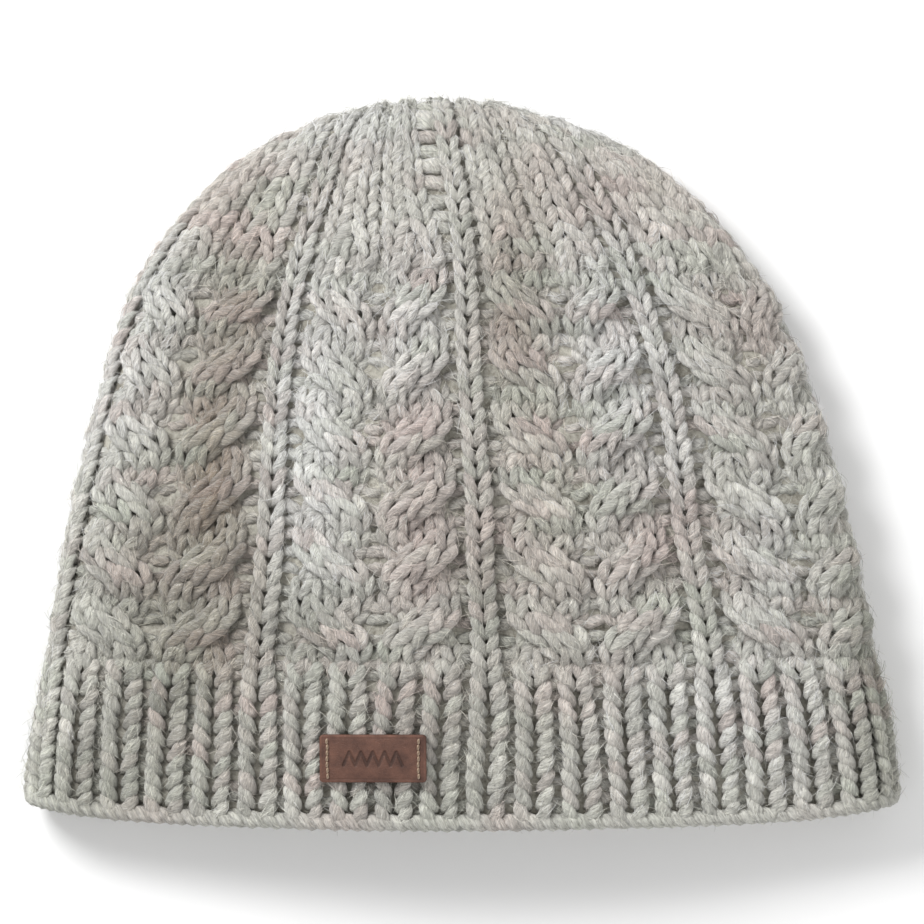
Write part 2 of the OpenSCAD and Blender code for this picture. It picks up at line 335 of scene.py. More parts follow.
# Patches of variegated yarn and of painted shade and light: middle and reach, across and up in millimetres,
# colour and strength
# The darker patches towards the lower left and along the right fold are painted shade as well as yarn
# colour.
COLOUR_AND_PAINTED_LIGHT_PATCHES = [
    (-68, -6, 12, 46, TAUPE_AND_PAINTED_SHADE, 1.0),
    (-57, 40, 11, 26, TAUPE_AND_PAINTED_SHADE, 0.9),
    (-60, 72, 18, 14, ROSE, 0.5),
    (-28, 92, 14, 8, WHITE_AND_PAINTED_LIGHT, 0.7),
    # Darker towards the lower left: painted shade as well as the yarn's own colour, here and in the other
    # lower-left patches.
    (-80, -52, 18, 34, MOSS_AND_PAINTED_SHADE, 0.75),
    (-84, -26, 12, 18, TAUPE_AND_PAINTED_SHADE, 0.45),
    (-57, -28, 8, 16, TAUPE_AND_PAINTED_SHADE, 0.5),
    (-70, -50, 12, 10, TAUPE_AND_PAINTED_SHADE, 0.6),
    (-100, -88, 18, 14, MOSS_AND_PAINTED_SHADE, 0.6),
    (-99, 28, 13, 30, WHITE_AND_PAINTED_LIGHT, 0.75),
    (-86, 50, 12, 20, WHITE_AND_PAINTED_LIGHT, 0.6),
    (-43, 8, 11, 50, WHITE_AND_PAINTED_LIGHT, 1.0),
    (-12, -4, 11, 44, ROSE, 0.7),
    (-15, 38, 13, 24, WHITE_AND_PAINTED_LIGHT, 0.65),
    (-30, -74, 60, 26, MOSS_AND_PAINTED_SHADE, 0.25),
    (-42, -46, 10, 12, MOSS_AND_PAINTED_SHADE, 0.75),
    (-6, -78, 18, 16, MOSS_AND_PAINTED_SHADE, 0.3),
    (6, -24, 13, 16, ROSE, 0.5),
    (8, -34, 12, 20, MOSS_AND_PAINTED_SHADE, 0.5),
    (14, 42, 9, 34, TAUPE_AND_PAINTED_SHADE, 0.7),
    (26, 0, 10, 34, CREAM, 0.6),
    # Painted light as well as whiter yarn: a band lighter than the rest.
    (42, 30, 13, 32, WHITE_AND_PAINTED_LIGHT, 1.0),
    (54, -20, 12, 26, ROSE, 0.5),
    (58, 8, 10, 20, WHITE_AND_PAINTED_LIGHT, 0.5),
    (46, 74, 20, 12, ROSE, 0.5),
    (84, -24, 9, 20, WHITE_AND_PAINTED_LIGHT, 0.5),
    (78, 40, 12, 16, ROSE, 0.4),
    (74, -68, 28, 18, WHITE_AND_PAINTED_LIGHT, 0.6),
    (28, -60, 12, 14, ROSE, 0.35),
    # Painted shade along the right fold, where it turns away from the light, as well as darker yarn.
    (114, -50, 10, 50, MOSS_AND_PAINTED_SHADE, 1.0),
]


def wool_colour(points, row):
    """Yarn colour from the patches, painted shade and light among them, mirrored on the back, its row and
    chance.
    """
    front_z, knots, reach, share, most = 12 * MM, 25, 125, 0.3, 0.7
    colour = np.tile(WOOL, (len(points), 1))
    x = np.where(points[:, 2] > front_z, points[:, 0], -points[:, 0]) / MM
    y = points[:, 1] / MM
    for px, py, wide, high, tint, strength in COLOUR_AND_PAINTED_LIGHT_PATCHES:
        w = strength * np.exp(-(((x - px) / wide) ** 2 + ((y - py) / high) ** 2))
        colour += (tint - colour) * w[:, None]
    streaks = np.random.default_rng(5).normal(0, 1, (ROWS + 4, knots))
    step = (x / reach + 1) * (knots - 1) / 2
    cell = np.clip(step.astype(int), 0, knots - 2)
    part = step - cell
    which = np.clip(row.astype(int), 0, ROWS + 3)
    streak = streaks[which, cell] * (1 - part) + streaks[which, cell + 1] * part
    colour += (ROSE - colour) * np.clip(share * streak, 0, most)[:, None]
    colour += (GREEN - colour) * np.clip(-share * streak, 0, most)[:, None]
    return colour * rng.normal(1, 0.09, (len(points), 1)).clip(0.75, 1.25)


# ---- Meshes ----


def mesh_object(name, points, loops, sizes):
    """Object from its points, the point of each face corner, and the corners of each face."""
    mesh = bpy.data.meshes.new(name)
    mesh.vertices.add(points.size // 3)
    mesh.vertices.foreach_set("co", np.ascontiguousarray(points, np.float32).ravel())
    mesh.loops.add(len(loops))
    mesh.loops.foreach_set("vertex_index", np.ascontiguousarray(loops, np.int32))
    mesh.polygons.add(len(sizes))
    starts = np.concatenate([[0], np.cumsum(sizes)[:-1]]).astype(np.int32)
    mesh.polygons.foreach_set("loop_start", starts)
    mesh.polygons.foreach_set("use_smooth", np.ones(len(sizes), bool))
    mesh.update(calc_edges=True)
    return placed(name, mesh)


def placed(name, data):
    """Object in the scene from its data."""
    obj = bpy.data.objects.new(name, data)
    bpy.context.scene.collection.objects.link(obj)
    return obj


def tubes(name, points):
    """Object of tubes with closed ends; points are given by tube, ring and side."""
    count, rings, sides = points.shape[:3]
    i, k = np.meshgrid(np.arange(rings - 1), np.arange(sides), indexing="ij")
    after = (k + 1) % sides
    quads = np.stack([i * sides + k, i * sides + after, (i + 1) * sides + after, (i + 1) * sides + k], -1)
    first = np.arange(sides)[::-1]
    last = (rings - 1) * sides + np.arange(sides)
    one = np.concatenate([quads.ravel(), first, last])
    sizes = np.concatenate([np.full(len(quads.reshape(-1, 4)), 4), [sides, sides]])
    shift = np.arange(count)[:, None] * rings * sides
    return mesh_object(name, points, (one[None] + shift).ravel(), np.tile(sizes, count))


def attribute(obj, name, kind, values):
    """Stores one colour or vector for each point of an object."""
    key = {"FLOAT_COLOR": "color", "FLOAT_VECTOR": "vector"}[kind]
    layer = obj.data.attributes.new(name, kind, "POINT")
    layer.data.foreach_set(key, np.ascontiguousarray(values, np.float32).ravel())


def tinted(obj, colours):
    """Stores the wool's colour for each point."""
    attribute(obj, "tint", "FLOAT_COLOR", np.concatenate([colours, np.ones((len(colours), 1))], 1))


# Added to lengths that may be zero
TINY = 1e-12


def frames(centre, out):
    """Directions along, across and out of each length of yarn."""
    along = unit(np.gradient(centre, axis=1), TINY)
    across = unit(np.cross(along, out), TINY)
    return along, across, np.cross(across, along)


def ring_angles(sides):
    """Angles round a yarn's section, from its inner side."""
    return -math.pi / 2 + 2 * math.pi * np.arange(sides) / sides


def tube_points(centre, across, out, r, around, wide=1.0, high=1.0):
    """Rings of points round centre lines; wide and high are the section's shares of r."""
    sideways = across[..., None, :] * (wide * r * np.cos(around))[..., None]
    outward = out[..., None, :] * (high * r * np.sin(around))[..., None]
    return centre[..., None, :] + sideways + outward


def distance_along(centre):
    """Distance from the start of each length of yarn to each of its rings."""
    steps = np.linalg.norm(np.diff(centre, axis=1), axis=-1)
    return np.concatenate([np.zeros((len(centre), 1)), np.cumsum(steps, 1)], 1)


def dressed(obj, centre, around, row):
    """Stores and returns each length's colour, and stores where each point is round and along it."""
    shape = (*centre.shape[:2], len(around))
    colour = wool_colour(centre[:, shape[1] // 2], row)
    tinted(obj, np.repeat(colour, shape[1] * shape[2], 0))
    lay = np.stack([
        np.broadcast_to((around + math.pi / 2) / (2 * math.pi), shape),
        np.broadcast_to(distance_along(centre)[..., None] / MM, shape),
        np.broadcast_to(rng.uniform(0, 100, shape[0])[:, None, None], shape),
    ], -1)
    attribute(obj, "lay", "FLOAT_VECTOR", lay)
    return colour


# Lengths of yarn already laid, for the loose fibres to lie on
LAID = []
# Least height of the wool over the surface that the hat lies on
WOOL_CLEAR = 0.05 * MM


def outward_at(q, y):
    """Direction out of the fabric at a place on it, not yet of length 1."""
    return knit_point(q, y, 1 * MM) - knit_point(q, y, 2 * MM)


def yarn(name, parts, sides=10, nodes=()):
    """One piece made of lengths of yarn; each part is (q, y, depth, thickness, row)."""
    past_crown, side_chance, row_chance, thick_chance = 1.4 * MM, 0.12 * MM, 0.15 * MM, 0.06
    ply_depth, ply_turn, ring_lump, point_lump = 0.05, 0.5, 0.05, 0.045
    wide, high = 1.04, 0.9
    q, y, depth, thick, row = (np.concatenate(part) for part in zip(*parts))
    middle_y = y[:, q.shape[1] // 2]
    x, _ = fabric_place(q[:, q.shape[1] // 2], middle_y)
    kept = past_fold(x, middle_y)[0] < math.pi / 2 * fold_r(middle_y) + past_crown
    q, y, depth, thick, row = (part[kept] for part in (q, y, depth, thick, row))
    count, rings = q.shape
    jitter = rng.normal(0, 1, (3, count, 1))
    q = q + side_chance * jitter[0] / (4 * quarter(y))
    y = y + row_chance * jitter[1]
    thick = thick * (1 + thick_chance * jitter[2].clip(-2, 2))
    centre = knit_point(q, y, depth)
    along, across, out = frames(centre, unit(outward_at(q, y), TINY))
    phase = rng.uniform(0, 2 * math.pi, (count, 1))
    around = ring_angles(sides)
    turned = distance_along(centre)[..., None] / MM * ply_turn
    ply = 1 + ply_depth * np.cos(2 * (around - turned - phase[..., None]))
    lumps = 1 + ring_lump * rng.normal(0, 1, (count, rings, 1))
    lumps = lumps + point_lump * rng.normal(0, 1, (count, rings, sides))
    r = thick[..., None] * ply * lumps.clip(0.8, 1.2)
    points = tube_points(centre, across, out, r, around, wide, high)
    points[..., 2] = np.maximum(points[..., 2], WOOL_CLEAR)
    obj = tubes(name, points)
    colour = dressed(obj, centre, around, row)
    LAID.append((centre, along, across, out, thick, colour))
    finished(obj, wool, nodes)


def slab(name, outer, inner, wrap):
    """Closed solid between two grids of points; with wrap, the last column joins the first."""
    rows, cols = outer.shape[:2]
    spans = cols if wrap else cols - 1
    i, j = np.meshgrid(np.arange(rows - 1), np.arange(spans), indexing="ij")
    k = (j + 1) % cols
    a, b, inside = i * cols, (i + 1) * cols, rows * cols
    faces = [(a + j, a + k, b + k, b + j), (inside + a + j, inside + b + j, inside + b + k, inside + a + k)]
    j = np.arange(spans)
    k = (j + 1) % cols
    top = inside - cols
    faces += [(j, inside + j, inside + k, k), (top + j, top + k, inside + top + k, inside + top + j)]
    if not wrap:
        a = np.arange(rows - 1) * cols
        b, c = a + cols, cols - 1
        faces += [(a, b, inside + b, inside + a), (a + c, inside + a + c, inside + b + c, b + c)]
    quads = np.concatenate([np.stack(corners, -1).reshape(-1, 4) for corners in faces])
    return mesh_object(name, np.stack([outer, inner]), quads.ravel(), np.full(len(quads), 4))


def finished(obj, material, nodes=()):
    """Gives a piece its material and slot, and rides it on the hat."""
    obj.data.materials.append(material)
    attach(obj, "root")
    if nodes:
        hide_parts(*nodes)
    return obj


# ---- Materials ----


def new_material(name, **values):
    """Material with a Principled shader, and those of its sockets that are the same all over."""
    material = bpy.data.materials.new(name)
    material.use_nodes = True
    shader = material.node_tree.nodes["Principled BSDF"]
    for key, value in values.items():
        shader.inputs[key.replace("_", " ")].default_value = value
    return material, material.node_tree, shader


def feed(tree, socket, value):
    """Gives an input socket an output socket or a plain value."""
    if isinstance(value, bpy.types.NodeSocket):
        tree.links.new(value, socket)
    else:
        socket.default_value = value


def add_node(tree, kind, settings=None, **links):
    """Node with settings; links are its inputs, by name or as i and their number."""
    node = tree.nodes.new(kind)
    for key, value in (settings or {}).items():
        setattr(node, key, value)
    for key, value in links.items():
        feed(tree, node.inputs[int(key[1:]) if key[1:].isdigit() else key], value)
    return node


def maths(tree, operation, a, b=0.0, c=0.0):
    """Result of a sum on sockets or plain values."""
    return add_node(tree, "ShaderNodeMath", {"operation": operation}, i0=a, i1=b, i2=c).outputs[0]


def noise(tree, vector, scale, detail=3.0, rough=0.6):
    """Noise from 0 to 1."""
    node = add_node(tree, "ShaderNodeTexNoise", Vector=vector, Scale=scale, Detail=detail, Roughness=rough)
    return node.outputs["Fac"]


def remap(tree, value, low, high, to_low=0.0, to_high=1.0):
    """Value between low and high, brought to lie between to_low and to_high."""
    node = add_node(tree, "ShaderNodeMapRange", i0=value, i1=low, i2=high, i3=to_low, i4=to_high)
    return node.outputs[0]


def mixed(tree, factor, a, b, blend="MIX"):
    """Mix of two colours."""
    node = tree.nodes.new("ShaderNodeMix")
    node.data_type = "RGBA"
    node.blend_type = blend
    for number, value in ((0, factor), (6, a), (7, b)):
        feed(tree, node.inputs[number], value)
    return node.outputs[2]


def scaled(tree, colour, factor):
    """Colour times a grey factor."""
    grey = add_node(tree, "ShaderNodeCombineColor", i0=factor, i1=factor, i2=factor).outputs[0]
    return mixed(tree, 1.0, colour, grey, "MULTIPLY")


def surface(tree, shader, colour, relief, strength, distance):
    """Gives a shader its colour and fine relief."""
    tree.links.new(colour, shader.inputs["Base Color"])
    node = add_node(tree, "ShaderNodeBump", Strength=strength, Distance=distance, Height=relief)
    tree.links.new(node.outputs[0], shader.inputs["Normal"])


def swatch(*parts):
    """Opaque colour for a socket, from 0 to 255 parts."""
    return (*[float(c) for c in srgb(*parts)], 1.0)


def stored(tree, name):
    """Outputs of an attribute kept at the points."""
    return add_node(tree, "ShaderNodeAttribute", {"attribute_name": name}).outputs


def lay_of(tree):
    """Place round the yarn, place along it, and the yarn's own number."""
    lay = stored(tree, "lay")["Vector"]
    return add_node(tree, "ShaderNodeSeparateXYZ", i0=lay).outputs


def place_of(tree):
    """Place in the object."""
    return add_node(tree, "ShaderNodeTexCoord").outputs["Object"]


def wool_material():
    """Heathered yarn: fibres with a slight twist, some lighter and some darker."""
    material, tree, shader = new_material(
        "wool_yarn", Roughness=0.95, Specular_IOR_Level=0.15, Sheen_Weight=0.45, Sheen_Roughness=0.5)
    tint = stored(tree, "tint")["Color"]
    parts = lay_of(tree)
    twisted = maths(tree, "MULTIPLY_ADD", parts[1], 0.11, parts[0])
    across = maths(tree, "MULTIPLY", twisted, 16.0)
    along = maths(tree, "MULTIPLY", parts[1], 0.45)
    fibre = add_node(tree, "ShaderNodeCombineXYZ", i0=across, i1=along, i2=parts[2]).outputs[0]
    strands = noise(tree, fibre, 1.0, 3.0, 0.7)
    finer = noise(tree, fibre, 2.3, 2.0, 0.7)
    blotch = noise(tree, fibre, 0.33, 2.0, 0.5)
    colour = scaled(tree, tint, remap(tree, strands, 0.28, 0.72, 0.55, 1.3))
    dark = remap(tree, finer, 0.56, 0.70, 0.0, 0.7)
    colour = mixed(tree, dark, colour, swatch(118, 106, 93))
    light = remap(tree, finer, 0.42, 0.30, 0.0, 0.7)
    colour = mixed(tree, light, colour, swatch(246, 244, 238))
    colour = scaled(tree, colour, remap(tree, blotch, 0.3, 0.7, 0.85, 1.13))
    surface(tree, shader, colour, maths(tree, "ADD", strands, finer), 1.0, 0.8 * MM)
    return material


def fibre_material():
    """Loose fibres, in the colour of the yarn that they come from."""
    material, tree, shader = new_material(
        "wool_fibre", Roughness=1.0, Specular_IOR_Level=0.1, Sheen_Weight=0.3, Sheen_Roughness=0.6)
    tint = stored(tree, "tint")["Color"]
    place = place_of(tree)
    shade = remap(tree, noise(tree, place, 1400.0, 2.0), 0.3, 0.7, 0.85, 1.15)
    tree.links.new(scaled(tree, tint, shade), shader.inputs["Base Color"])
    return material


def felted_material(name, low, high, scale, **values):
    """Matt fabric of short fibres, between two colours."""
    material, tree, shader = new_material(name, Roughness=0.96, Specular_IOR_Level=0.12, **values)
    place = place_of(tree)
    fine = noise(tree, place, scale, 4.0, 0.7)
    slow = noise(tree, place, scale / 12, 2.0)
    mix = maths(tree, "MULTIPLY_ADD", fine, 0.7, maths(tree, "MULTIPLY", slow, 0.3))
    colour = mixed(tree, remap(tree, mix, 0.35, 0.65), low, high)
    surface(tree, shader, colour, fine, 0.7, 0.4 * MM)
    return material


def thread_material():
    """Waxed two-ply thread, with painted shade in the hollows between its plies and painted light on their
    ridges.
    """
    material, tree, shader = new_material("label_thread", Roughness=0.6, Sheen_Weight=0.2)
    parts = lay_of(tree)
    turn = maths(tree, "MULTIPLY_ADD", parts[1], 4.5, maths(tree, "MULTIPLY", parts[0], 4 * math.pi))
    ply = maths(tree, "SINE", turn)
    # Painted shade in the hollows between the plies and painted light on their ridges.
    hollow_shade, ridge_light = swatch(128, 104, 84), swatch(186, 164, 140)
    colour = mixed(tree, remap(tree, ply, -1.0, 1.0), hollow_shade, ridge_light)
    surface(tree, shader, colour, ply, 0.6, 0.15 * MM)
    return material


def leather_material():
    """Oiled leather with fine grain, lighter at its worn rims and darker in its pressed lines."""
    material, tree, shader = new_material("label_leather", Specular_IOR_Level=0.4)
    place = place_of(tree)
    wear = stored(tree, "tint")["Color"]
    mottle = noise(tree, place, 260.0, 4.0, 0.6)
    to_edge = {"feature": "DISTANCE_TO_EDGE"}
    grain = add_node(tree, "ShaderNodeTexVoronoi", to_edge, Vector=place, Scale=2100.0)
    pores = remap(tree, grain.outputs["Distance"], 0.0, 0.25)
    dark, light = swatch(78, 52, 43), swatch(112, 77, 63)
    colour = mixed(tree, remap(tree, mottle, 0.3, 0.7), dark, light)
    colour = mixed(tree, 1.0, colour, wear, "MULTIPLY")
    colour = scaled(tree, colour, remap(tree, pores, 0.0, 1.0, 0.86, 1.04))
    tree.links.new(remap(tree, mottle, 0.3, 0.7, 0.62, 0.48), shader.inputs["Roughness"])
    relief = maths(tree, "MULTIPLY_ADD", pores, 0.6, mottle)
    surface(tree, shader, colour, relief, 0.5, 0.12 * MM)
    return material


def tape_material():
    """Satin woven tape, blank."""
    material, tree, shader = new_material("label_tape", Roughness=0.45, Sheen_Weight=0.3)
    place = place_of(tree)
    bands = add_node(tree, "ShaderNodeTexWave", Vector=place, Scale=1500.0, Distortion=0.6)
    weave = bands.outputs["Fac"]
    colour = mixed(tree, weave, swatch(222, 220, 212), swatch(240, 239, 234))
    surface(tree, shader, colour, weave, 0.4, 0.08 * MM)
    return material


wool = wool_material()
fibre = fibre_material()
# The ground's colours are darker than the yarn's: painted shade in the gaps between the stitches.
ground_dark, ground_light = swatch(128, 124, 114), swatch(196, 193, 182)
ground_wool_painted_shade = felted_material("wool_ground_painted_shade", ground_dark, ground_light, 900.0, Sheen_Weight=0.2)
pile_dark, pile_light = swatch(150, 148, 139), swatch(188, 186, 178)
fleece = felted_material("fleece_pile", pile_dark, pile_light, 1500.0, Sheen_Weight=0.5)
thread = thread_material()
leather = leather_material()
tape = tape_material()

# ---- Stitches ----

# One leg of a knit stitch, ring by ring: it comes out between the legs of the stitch below, swings
# outward and dips behind the stitch above. Sideways in wale widths, up in rows, height and size in
# shares of the yarn's radius.
LEG_SIDE = np.array([0.03, 0.08, 0.14, 0.21, 0.28, 0.33, 0.35, 0.31, 0.22])
LEG_RISE = np.array([-0.32, -0.13, 0.08, 0.31, 0.55, 0.79, 1.00, 1.20, 1.34])
LEG_HEIGHT = np.array([-1.6, -0.6, 0.05, 0.38, 0.50, 0.40, 0.0, -0.9, -1.8])
LEG_SIZE = np.array([0.55, 0.82, 0.98, 1.05, 1.06, 1.02, 0.90, 0.70, 0.5])
# How much lower the outer leg of a rounded strand lies
ROUNDING = 1.4 * MM


def knit_column(place, rows, outer=0, gap=0.0):
    """Both legs of every stitch up a wale; place(row) gives its q, width, yarn radius and depth.

    outer is 1 or -1 where the right or the left leg lies lower, gap how much further apart both stand
    in the brim.
    """
    row = np.asarray(rows, float)[:, None, None] + LEG_RISE
    side = np.array([-1.0, 1.0])[:, None]
    q, width, thick, depth = place(row)
    y = height(row)
    apart = gap * np.clip((RIB_ROWS - row) / 3, 0, 1)
    q = q + side * (LEG_SIDE * width + apart) / (4 * quarter(y))
    depth = depth + ROUNDING / 2 * side * outer - LEG_HEIGHT * thick
    both = np.broadcast_arrays(q, y, depth, thick * LEG_SIZE)
    flat = [b.reshape(-1, len(LEG_RISE)) for b in both]
    return (*flat, np.repeat(np.asarray(rows, float), 2))


# Rings of a purl bump, from end to end
BAR = np.linspace(-1, 1, 8)


def purl_bars(place, rows):
    """One bump of yarn a row across a purl groove; place(row) gives its q, width and depth."""
    yarn_r, fill, tuck, bend = 1.3 * MM, 0.14, 1.6 * MM, 1.0 * MM
    rows = np.asarray(rows, float)
    bow = rng.choice([-1.0, 1.0], (len(rows), 1)) * rng.uniform(0.08, 0.25, (len(rows), 1))
    row = rows[:, None] + 0.5 + bow * (1 - BAR**2) + rng.normal(0, 0.1, (len(rows), 1)) * BAR
    q, width, depth = place(row)
    y = height(row)
    thick = (yarn_r + fill * width) * (1 - 0.25 * BAR**2)
    q = q + BAR * (width / 2 + tuck) / (4 * quarter(y))
    depth = depth + bend * BAR**2
    return (*np.broadcast_arrays(q, y, depth, thick), rows)


# Width of a rib's wale and its width at the top, how far apart its legs stand, and its yarn's radius
RIB_W = 8.8 * MM
RIB_W_AT_TOP = 10 * MM
RIB_GAP = 0.85 * MM
RIB_YARN = 1.6 * MM


def crowned(row):
    """0 below the crown, rising to 1 where the fabric bends over it."""
    start, reach = 125 * MM, 45 * MM
    return np.clip((height(row) - start) / reach, 0, 1)


def divider_place(panel):
    """The divider wale: a rib in the brim, narrower above it."""
    wale_share, yarn_share = 0.84, 0.155

    def place(row):
        q, width = element(panel, "divider", height(row))
        above = np.clip((row - RIB_ROWS + 2) / 4, 0, 1)
        wale = RIB_W + (wale_share * width - RIB_W) * above
        thick = RIB_YARN + (yarn_share * width - RIB_YARN) * above
        return q, wale, thick, (2.4 + 0.3 * above - 1.4 * crowned(row)) * MM
    return place


def rib_place(panel, rib):
    """A rib of the brim; its last rows lean towards the cable strand that grows from it."""
    name = "cable_left" if rib < 3 else "cable_right"
    hand = -1 if rib in (1, 3) else 1

    def place(row):
        y = height(row)
        q = DIVIDER_Q + (panel + rib / RIBS_PER_PANEL) / PANELS
        middle, width = element(panel, name, y)
        strand = middle + hand * width / 4 / (4 * quarter(y))
        lean = np.clip((row - RIB_ROWS + 3) / 3, 0, 1)
        wale = RIB_W + (RIB_W_AT_TOP - RIB_W) * lean
        return q + (strand - q) * lean, wale, RIB_YARN, (2.3 + 0.7 * lean) * MM
    return place


# Where a cable's wales lie across it past its last crossing, and how wide they are, as shares of its
# width, and the height at which each ends: they are knitted together by twos towards the crown
MERGE_H = np.array([150, 155, 158, 163]) * MM
WALES = [
    ([-0.375, -0.333, -0.333, -0.25], 220 * MM),
    ([-0.125, 0.0, 0.0, 0.25], 158 * MM),
    ([0.125, 0.333, 0.333, 0.25], 153 * MM),
    ([0.375, 0.333, 0.333, 0.25], 220 * MM),
]
WALE_SHARE = [0.25, 0.333, 0.333, 0.5]


def cable_place(panel, name, wale):
    """One wale of a cable: two strands of two wales each pass over each other every few rows."""
    slant = 1 if name == "cable_right" else -1
    strand, within = divmod(wale, 2)
    hand = 1 if strand == 0 else -1
    sharp, over_spread, under_spread, fill, most = 0.8, 0.55, 0.2, 0.24, 1.5 * MM

    def place(row):
        y = height(row)
        middle, width = element(panel, name, y)
        phase = math.pi * (np.clip(row, RIB_ROWS, LAST_CROSSING_ROW) - RIB_ROWS) / CROSS_ROWS
        swing = np.tanh(sharp * np.cos(phase)) / math.tanh(sharp)
        over = slant * hand * np.sin(phase)
        spread = 1 + np.where(over > 0, over_spread, under_spread) * over**2
        twisting = -0.25 * hand * swing + 0.25 * (within - 0.5) * spread
        straight = np.interp(y, MERGE_H, WALES[wale][0])
        offset = np.where(row < LAST_CROSSING_ROW, twisting, straight)
        wale_w = width * np.interp(y, MERGE_H, WALE_SHARE)
        thick = np.minimum(fill * wale_w, most) * (1 + 0.12 * over**2)
        depth = (3.8 - 2.2 * crowned(row) - np.where(over > 0, 2.6, 1.5) * over) * MM
        return middle + offset * width / (4 * quarter(y)), wale_w * spread, thick, depth
    return place


def cable_column(panel, name, wale):
    """The stitches of one wale of a cable."""
    rows = np.arange(RIB_ROWS - 1, ROWS + 2)
    rows = rows[height(rows) < WALES[wale][1]]
    return knit_column(cable_place(panel, name, wale), rows, 2 * (wale % 2) - 1)


def groove_place(panel, name):
    """A purl groove above the brim; where it widens into the ladder its bars stand higher."""
    def place(row):
        q, width = element(panel, name, height(row))
        ladder = 0.8 * MM * np.clip((width - 4 * MM) / (3 * MM), 0, 1)
        return q, width, (4.9 - 1.8 * crowned(row)) * MM - ladder
    return place


def rib_groove_place(panel, rib):
    """The purl groove after a rib."""
    width, depth = 2.4 * MM, 4.6 * MM
    q = DIVIDER_Q + (panel + (rib + 0.5) / RIBS_PER_PANEL) / PANELS
    return lambda row: (q, width, depth)


def cast_on_edge():
    """Two plies of yarn wound round each other along the mouth."""
    turns, per_turn = 80, 8
    ply_r, unevenly = 1.55 * MM, 0.06
    axis_y, axis_depth = 2.1 * MM, 2.6 * MM
    swing_y, swing_depth = 1.0 * MM, 0.9 * MM
    s = np.arange(turns * per_turn) / (turns * per_turn)
    rings, sides = len(s), 8
    plies = []
    for ply in range(2):
        angle = 2 * math.pi * turns * s + ply * math.pi
        y = axis_y + swing_y * np.cos(angle)
        centre = knit_point(s, y, axis_depth - swing_depth * np.sin(angle))
        along = unit(np.roll(centre, -1, 0) - np.roll(centre, 1, 0))
        across = unit(np.cross(along, unit(outward_at(s, y))))
        r = ply_r * (1 + unevenly * rng.normal(0, 1, rings)[:, None])
        points = tube_points(centre, across, np.cross(across, along), r, ring_angles(sides))
        points[..., 2] = np.maximum(points[..., 2], WOOL_CLEAR)
        plies.append(points.reshape(-1, 3))
    i, k = np.meshgrid(np.arange(rings), np.arange(sides), indexing="ij")
    i_next, k_next = (i + 1) % rings, (k + 1) % sides
    near, far = i * sides, i_next * sides
    quads = np.stack([near + k, near + k_next, far + k_next, far + k], -1).reshape(-1, 4)
    quads = np.concatenate([quads, quads + rings * sides])
    points = np.concatenate(plies)
    obj = mesh_object("cast_on_chain", points, quads.ravel(), np.full(len(quads), 4))
    tinted(obj, wool_colour(points, np.zeros(len(points))))
    mouth_mm = 480
    run = np.tile(np.repeat(s * mouth_mm, sides), 2)
    turn = np.tile(np.arange(sides) / sides, 2 * rings)
    attribute(obj, "lay", "FLOAT_VECTOR", np.stack([turn, run, 0 * run], -1))
    finished(obj, wool, ["cast_on_edge"])


def knit():
    """Every piece of the knit: brim, dividers, cables and purl grooves."""
    brim = np.arange(0.6, RIB_ROWS - 0.4)
    brim_bars = np.arange(0.4, RIB_ROWS)
    divider = np.arange(0.6, ROWS + 1.5)
    body = np.arange(RIB_ROWS, ROWS + 2)
    ribs, bars = [], []
    for panel in range(PANELS):
        ribs += [knit_column(rib_place(panel, rib), brim, 0, RIB_GAP) for rib in range(1, RIBS_PER_PANEL)]
        bars += [purl_bars(rib_groove_place(panel, rib), brim_bars) for rib in range(RIBS_PER_PANEL)]
    half = len(ribs) // 2
    yarn("rib_yarn_a", ribs[:half], 10, ["rib_brim"])
    yarn("rib_yarn_b", ribs[half:])
    yarn("rib_purl_yarn", bars, 8)
    yarn("divider_yarn", [knit_column(divider_place(panel), divider, 0, RIB_GAP) for panel in range(PANELS)])
    for panel in range(PANELS):
        number = PANELS - panel
        for name in ("cable_left", "cable_right"):
            wales = [cable_column(panel, name, wale) for wale in range(4)]
            nodes = [f"cable_panel_{number}"] if name == "cable_left" else []
            yarn(f"{name}_{number}", wales, 10, nodes)
        names = ("purl_left", "purl_middle", "purl_right")
        grooves = [purl_bars(groove_place(panel, name), body) for name in names]
        yarn(f"purl_grooves_{number}", grooves, 8)


def ground():
    """Felted ground of the fabric behind the stitches, open at the mouth, coloured darker as painted shade.
    """
    rows, cols, crown_rows = 90, 400, 16
    grain = 0.25 * MM
    body_v = np.linspace(0.012, 0.9, rows - crown_rows)
    v = np.concatenate([body_v, np.linspace(0.905, 0.985, crown_rows)])[:, None]
    q = (np.arange(cols) / cols)[None]
    pile = grain * rng.normal(0, 1, (rows, cols))
    brim = 0.7 * np.clip((BRIM_SHARE + 0.02 - v) / 0.03, 0, 1)
    crown = 1.8 * np.clip((v - 0.62) / 0.25, 0, 1)
    outer = hat_point(q, v, (5.0 - brim - crown) * MM + pile)
    inner = hat_point(q, v, KNIT_DEPTH - 0.1 * MM)
    finished(slab("knit_ground", outer, inner, True), ground_wool_painted_shade)


